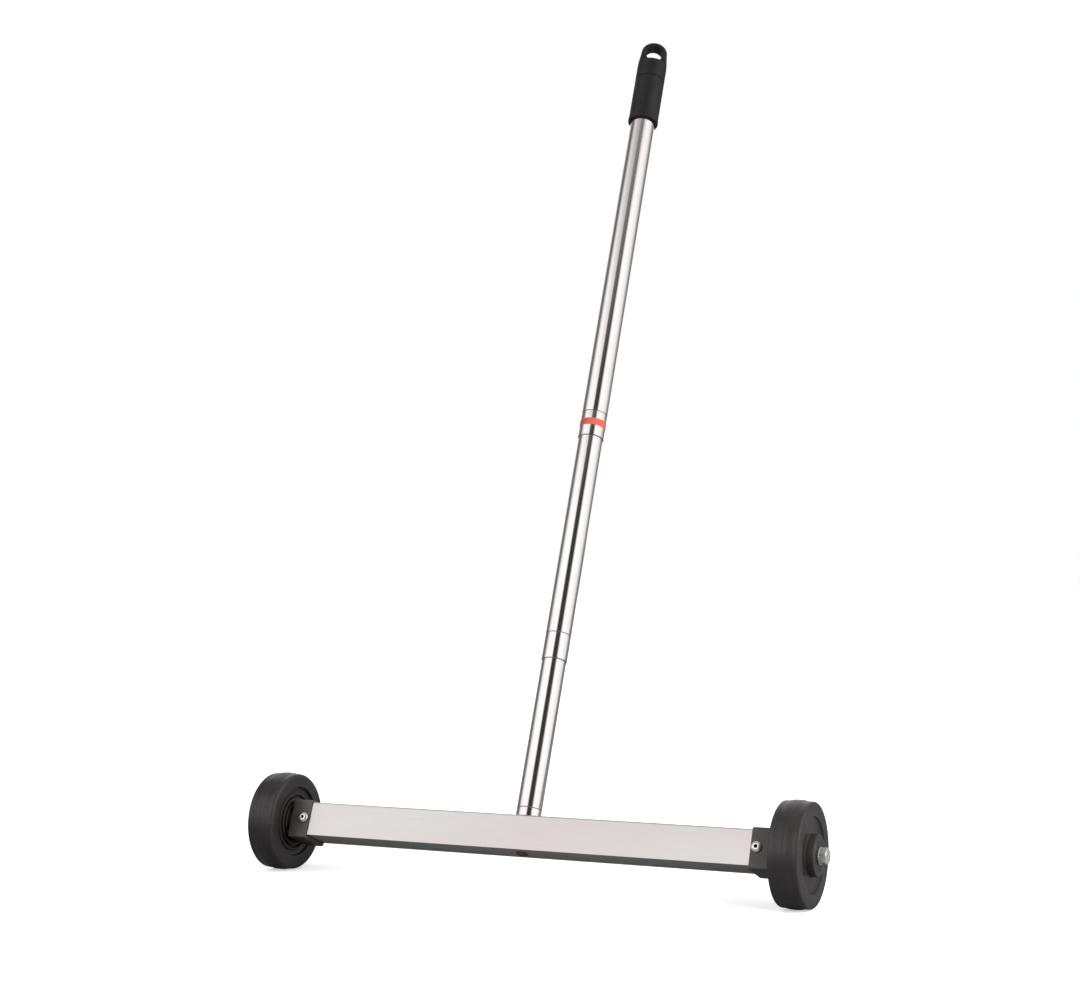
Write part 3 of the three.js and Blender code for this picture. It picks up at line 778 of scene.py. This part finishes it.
def loop_fillet():
    """Steps of (half thickness, z) from the sleeve's ledge up into the flat loop, on a cubic curve."""
    thickness, ledge, steps = GRIP["loop_half_thickness"], GRIP["ledge"], GRIP_STEPS["fillet"]
    start, end = Vector((GRIP["radius"] - 0.4, ledge)), Vector((thickness, GRIP["fillet_top"]))
    first, second = Vector((GRIP["fillet_from"], ledge + 0.3)), Vector((thickness, ledge + 0.3))
    for step in range(steps + 1):
        t = step / steps
        middle = first.lerp(second, t)
        yield start.lerp(first, t).lerp(middle, t).lerp(middle.lerp(second.lerp(end, t), t), t)


def grip_mesh():
    """The grip: a round sleeve whose front and back stop at a ledge, below a flat arched loop."""
    radius, ledge, half_thickness = GRIP["radius"], GRIP["ledge"], GRIP["loop_half_thickness"]
    rings = [circle(reach, z, ROUND) for reach, z in grip_sleeve()]
    rings.append(grip_ring(GRIP["sides_from"], radius))
    rings.append(grip_ring(ledge - 0.4, radius))
    rings.append(grip_ring(ledge - 0.1, radius - 0.1))
    rings.extend(grip_ring(z, thickness) for thickness, z in loop_fillet())
    sides, arch = GRIP_STEPS["sides"], GRIP_STEPS["arch"]
    for step in range(1, sides + 1):
        z = GRIP["fillet_top"] + (GRIP_ARCH_Z - GRIP["fillet_top"]) * step / sides
        rings.append(grip_ring(z, half_thickness))
    for step in range(1, arch):
        rise = math.sin(step / arch * math.pi / 2)
        rings.append(grip_ring(GRIP_ARCH_Z + GRIP["loop_half_width"] * rise, half_thickness))
    rings.append([Vector((0, 0, GRIP["top"]))])
    return loft(rings)


def hole_cutter():
    """A plug for the hang hole. It flares where it leaves the loop, to round the hole's edges."""
    radius, flare, half = HANG_HOLE["radius"], HANG_HOLE["flare"], GRIP["loop_half_thickness"]
    steps, end = HANG_HOLE["steps"], half + HANG_HOLE["reach"]
    path = []
    for step in range(steps + 1):
        angle = step / steps * math.pi / 2
        path.append((radius + flare * (1 - math.cos(angle)), half - flare + flare * math.sin(angle)))
    path.append((radius + flare + 0.2, end))
    mirrored = [(reach, -y) for reach, y in reversed(path)]
    return turned([(0, -end), *mirrored, *path, (0, end)], ROUND // 2, joined=False)


def cut_away(piece, cutter):
    """Takes the cutter's solid out of a piece for good, and removes the cutter."""
    boolean = piece.modifiers.new("cut", "BOOLEAN")
    boolean.operation = "DIFFERENCE"
    boolean.solver = "EXACT"
    boolean.object = cutter
    bpy.context.view_layer.update()
    evaluated = piece.evaluated_get(bpy.context.evaluated_depsgraph_get())
    cut_data = bpy.data.meshes.new_from_object(evaluated)
    piece.modifiers.clear()
    piece.data = cut_data
    bpy.data.objects.remove(cutter)


def add_grip():
    grip = as_object("grip_body", grip_mesh(), GRIP_PLACE)
    hole_place = GRIP_PLACE @ raised(HANG_HOLE["z"]) @ Matrix.Rotation(math.pi / 2, 4, "X")
    cut_away(grip, as_object("hole_cutter", hole_cutter(), hole_place))
    fit_in(grip, GRIP_PLACE, "upper_section", "handle_grip", "grip_plastic")


def paint_joint_shade(piece, sizes):
    """Gives the rolled groove and the turned-in lower rim of a tube a rougher finish and a darker tone than
    its wall: the darker tone is painted shade in the groove and under the rim.
    """
    piece.data.materials.append(material("rolled_steel_painted_shade", HEAD))
    to_piece = HEAD.inverted()
    reach, least_depth, rim_height = GROOVE["half_width"] + 0.2, 0.03, 0.5
    for face in piece.data.polygons:
        centre = to_piece @ face.center / MM
        in_groove = abs(centre.z - sizes["groove"]) < reach
        sunk = math.hypot(centre.x, centre.y) < sizes["radius"] - least_depth
        at_rim = centre.z < sizes["bottom"] + rim_height
        if in_groove and sunk or at_rim:
            face.material_index = 1


def add_handle():
    bodies = {"lower_tube": "head", "middle_tube": "middle_section", "upper_tube": "upper_section"}
    for node, sizes in TUBES.items():
        tube = add_piece(f"{node}_polished", tube_mesh(**sizes), HEAD, bodies[node], node, "polished_tube")
        # Paints shade into the tube's groove and under its lower rim.
        paint_joint_shade(tube, sizes)
    add_piece("marker_ring", collar(**BAND), HEAD, "upper_section", "marker_band", "orange_band")
    add_grip()


# ---- CAD pieces that stay ----

HIDDEN_LOOKS = {
    "magnet_block": "ferrite", "magnet_keeper": "zinc_steel", "handle_bolt_spacer": "zinc_steel",
    "axle_nut": "zinc_steel", "wheel_bush": "nylon", "handle_foot_plug": "zinc_steel",
    "lock_core": "nylon", "lock_retainer": "nylon", "lock_collar": "lock_plastic",
}


def dress_cad_nodes():
    """The inner pieces keep their CAD shape and get a finish of their own."""
    for name, node in frame["nodes"].items():
        for part, look in HIDDEN_LOOKS.items():
            if part in name:
                dress(node, look, HEAD)


# ---- stage, light and camera ----

# The floor is metres wide either way. The camera sees it near white and glowing a little, and the
# object gets the light that a darker floor throws back up.
FLOOR = {"half_width": 30, "squares": 8, "seen": 0.94, "glow": 0.5, "cast": 0.24}

# Brightness of the studio round the object: (azimuth in degrees from +x, brightness).
STUDIO = [
    (-180, 0.16), (-174, 0.34), (-166, 0.68), (-156, 1.0), (-142, 1.15), (-91, 1.15), (-79, 0.04),
    (-42, 0.04), (-27, 1.16), (-8, 1.18), (18, 1.05), (34, 0.95), (50, 0.5), (64, 0.22), (84, 0.2),
    (94, 1.0), (134, 1.0), (144, 0.45), (158, 0.16), (180, 0.16),
]
CEILING = {"from": 0.67, "to": 0.92, "brightness": 0.32}  # heights of a direction of length one

OVERHEAD = {"energy": 1.0, "spread": 100, "turned": (18, -10, 0)}  # degrees
SIDE_LIGHT = {"energy": 18, "width": 0.9, "at": (1.15, -0.55, 0.5)}  # watts and metres

# The camera's place is in metres from the axle line's middle.
CAMERA = {
    "lens": 61.4, "sensor": 36, "sees_to": 100,
    "from_axle": (0.7175, -1.47585, 0.22531), "turned": (92.47, -0.0155, 25.466),
}


def turned_by(angles):
    """A rotation for Blender from three angles in degrees."""
    return [math.radians(angle) for angle in angles]


def grey(brightness):
    return (brightness, brightness, brightness, 1)


def split_by_camera(tree, lit, seen, output):
    """Shows the camera one shader directly, and lets another one light the object."""
    path = add_node(tree, "ShaderNodeLightPath")
    choice = add_node(tree, "ShaderNodeMixShader", Fac=path.outputs["Is Camera Ray"])
    tree.links.new(lit.outputs[0], choice.inputs[1])
    tree.links.new(seen.outputs[0], choice.inputs[2])
    add_node(tree, output, Surface=choice.outputs["Shader"])


def floor_material():
    floor_white = bpy.data.materials.new("floor_white")
    floor_white.use_nodes = True
    tree = floor_white.node_tree
    tree.nodes.clear()
    seen = add_node(
        tree, "ShaderNodeBsdfPrincipled", Base_Color=grey(FLOOR["seen"]), Roughness=0.9,
        Specular_IOR_Level=0.1, Emission_Color=grey(1), Emission_Strength=FLOOR["glow"],
    )
    lit = add_node(tree, "ShaderNodeBsdfDiffuse", Color=grey(FLOOR["cast"]))
    split_by_camera(tree, lit, seen, "ShaderNodeOutputMaterial")
    return floor_white


def add_floor():
    mesh = bmesh.new()
    squares = FLOOR["squares"]
    bmesh.ops.create_grid(mesh, x_segments=squares, y_segments=squares, size=FLOOR["half_width"])
    data = bpy.data.meshes.new("floor")
    mesh.to_mesh(data)
    mesh.free()
    floor = bpy.data.objects.new("floor", data)
    bpy.context.scene.collection.objects.link(floor)
    data.materials.append(floor_material())


def studio_colour(tree, direction):
    """The studio's brightness in a direction: a ramp of pale and dark cards all round."""
    turn = add_node(tree, "ShaderNodeMath", {"operation": "ARCTAN2"})
    tree.links.new(direction["Y"], turn.inputs[0])
    tree.links.new(direction["X"], turn.inputs[1])
    share = add_node(
        tree, "ShaderNodeMapRange", Value=turn.outputs["Value"], From_Min=-math.pi, From_Max=math.pi,
    )
    ramp = add_node(tree, "ShaderNodeValToRGB", Fac=share.outputs["Result"])
    stops = ramp.color_ramp.elements
    while len(stops) < len(STUDIO):
        stops.new(1)
    for stop, (azimuth, brightness) in zip(stops, STUDIO):
        stop.position = (azimuth + 180) / 360
        stop.color = grey(brightness)
    return ramp.outputs["Color"]


def add_world():
    world = bpy.data.worlds.new("studio")
    bpy.context.scene.world = world
    world.use_nodes = True
    tree = world.node_tree
    tree.nodes.clear()
    generated = add_node(tree, "ShaderNodeTexCoord").outputs["Generated"]
    direction = add_node(tree, "ShaderNodeSeparateXYZ", Vector=generated).outputs
    ceiling = add_node(
        tree, "ShaderNodeMapRange", Value=direction["Z"], From_Min=CEILING["from"], From_Max=CEILING["to"],
    )
    cards = studio_colour(tree, direction)
    colour = mix_colours(tree, ceiling.outputs["Result"], cards, grey(CEILING["brightness"]))
    lit = add_node(tree, "ShaderNodeBackground", Color=colour)
    seen = add_node(tree, "ShaderNodeBackground", Color=grey(1))
    split_by_camera(tree, lit, seen, "ShaderNodeOutputWorld")


def add_lamp(name, kind, energy):
    """A light that neither shows nor leaves a highlight."""
    light = bpy.data.lights.new(name, kind)
    light.energy = energy
    lamp = bpy.data.objects.new(name, light)
    lamp.visible_glossy = False
    lamp.visible_camera = False
    bpy.context.scene.collection.objects.link(lamp)
    return lamp


def add_overhead_light():
    """A very soft light from above that brightens the floor evenly."""
    lamp = add_lamp("overhead", "SUN", OVERHEAD["energy"])
    lamp.data.angle = math.radians(OVERHEAD["spread"])
    lamp.rotation_euler = turned_by(OVERHEAD["turned"])


def add_side_light():
    """A soft light near the floor on the right that brings up the wheels' side faces."""
    lamp = add_lamp("side", "AREA", SIDE_LIGHT["energy"])
    lamp.data.shape = "DISK"
    lamp.data.size = SIDE_LIGHT["width"]
    lamp.location = SIDE_LIGHT["at"]
    lamp.rotation_euler = (-lamp.location).to_track_quat("-Z", "Y").to_euler()


def add_camera():
    data = bpy.data.cameras.new("camera")
    data.sensor_width = CAMERA["sensor"]
    data.lens = CAMERA["lens"]
    data.clip_end = CAMERA["sees_to"]
    camera = bpy.data.objects.new("camera", data)
    camera.location = axle_centre + Vector(CAMERA["from_axle"])
    camera.rotation_euler = turned_by(CAMERA["turned"])
    bpy.context.scene.collection.objects.link(camera)
    bpy.context.scene.camera = camera


add_bar()
for side_name, side_sign in SIDES.items():
    add_bar_end(side_name, side_sign)
    add_wheel(side_name, side_sign)
add_handle()
dress_cad_nodes()
add_floor()
add_world()
add_overhead_light()
add_side_light()
add_camera()
bpy.context.scene.view_settings.view_transform = "Standard"
